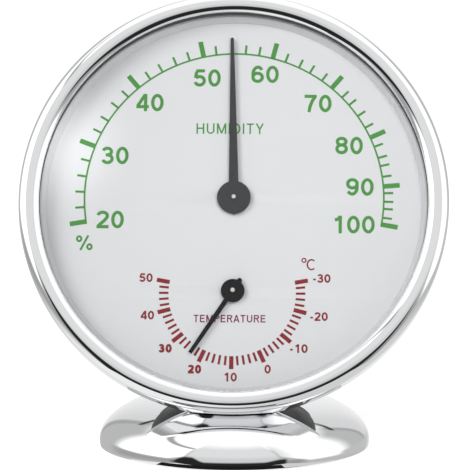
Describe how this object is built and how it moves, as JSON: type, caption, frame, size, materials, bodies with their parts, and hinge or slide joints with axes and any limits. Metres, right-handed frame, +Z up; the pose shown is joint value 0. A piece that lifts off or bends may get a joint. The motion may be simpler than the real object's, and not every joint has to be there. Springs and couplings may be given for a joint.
{
  "type": "desk thermo-hygrometer",
  "caption": "Round desk thermo-hygrometer: humidity and temperature pointers on a pale dial behind a flat lens, in a polished ring that leans back on a domed weighted foot.",
  "frame": {"origin": "middle of the foot pad's underside, on the surface that the instrument stands on", "axes": "+Z up, the dial faces -Y and leans back towards +Y, +X to the right as the dial is read"},
  "size_m": [0.102, 0.065, 0.1083],
  "materials": {
    "chrome": "mirror polished",
    "steel": "satin",
    "cast_iron": "rough",
    "brass": "satin",
    "coil_metal": "satin",
    "dial": "silk, printed",
    "spacer": "matt",
    "black_plastic": "fine grained",
    "black_rubber": "matt",
    "pointer_black": "satin",
    "glass": "clear"
  },
  "bodies": {
    "case_and_foot": {"bezel_ring": "chrome", "lens_gasket": "black_rubber", "lens": "glass", "spacer_ring": "spacer", "dial_plate": "dial", "movement_plate": "steel", "rear_housing": "black_plastic", "rear_cover": "black_plastic", "rear_cover_screw_1": "steel", "rear_cover_screw_2": "steel", "rear_cover_screw_3": "steel", "hygrometer_bush": "brass", "hygrometer_bridge": "steel", "hygrometer_bridge_screw_1": "steel", "hygrometer_bridge_screw_2": "steel", "thermometer_bush": "brass", "thermometer_bridge": "steel", "thermometer_bridge_screw_1": "steel", "thermometer_bridge_screw_2": "steel", "clamp_screw_1": "steel", "clamp_screw_2": "steel", "clamp_washer_1": "steel", "clamp_washer_2": "steel", "clamp_insert_1": "brass", "clamp_insert_2": "brass", "foot_shell": "chrome", "foot_weight": "cast_iron", "foot_base_plate": "steel", "foot_pad": "black_rubber", "base_plate_screw_1": "steel", "base_plate_screw_2": "steel", "base_plate_screw_3": "steel"},
    "hygrometer_adjuster": {"hygrometer_regulator": "brass", "hygrometer_coil": "coil_metal"},
    "hygrometer_needle": {"hygrometer_pointer": "pointer_black", "hygrometer_spindle": "brass"},
    "thermometer_adjuster": {"thermometer_regulator": "brass", "thermometer_coil": "coil_metal"},
    "thermometer_needle": {"thermometer_pointer": "pointer_black", "thermometer_spindle": "brass"}
  },
  "joints": [
    {"name": "hygrometer_adjust", "type": "hinge", "parent": "case_and_foot", "child": "hygrometer_adjuster", "pos_m": [0, -0.00293, 0.0605], "axis": [0, 0.9361, -0.3518], "range_deg": [-15, 15]},
    {"name": "hygrometer_reading", "type": "hinge", "parent": "hygrometer_adjuster", "child": "hygrometer_needle", "pos_m": [0, -0.00293, 0.0605], "axis": [0, 0.9361, -0.3518], "range_deg": [-98.3, 101.4], "stiffness_Nm_per_rad": 0.0003, "deforming": ["hygrometer_coil"]},
    {"name": "thermometer_adjust", "type": "hinge", "parent": "case_and_foot", "child": "thermometer_adjuster", "pos_m": [0, -0.01089, 0.0393], "axis": [0, 0.9361, -0.3518], "range_deg": [-15, 15]},
    {"name": "thermometer_reading", "type": "hinge", "parent": "thermometer_adjuster", "child": "thermometer_needle", "pos_m": [0, -0.01089, 0.0393], "axis": [0, 0.9361, -0.3518], "range_deg": [-132.7, 66.6], "stiffness_Nm_per_rad": 0.0003, "deforming": ["thermometer_coil"]}
  ]
}
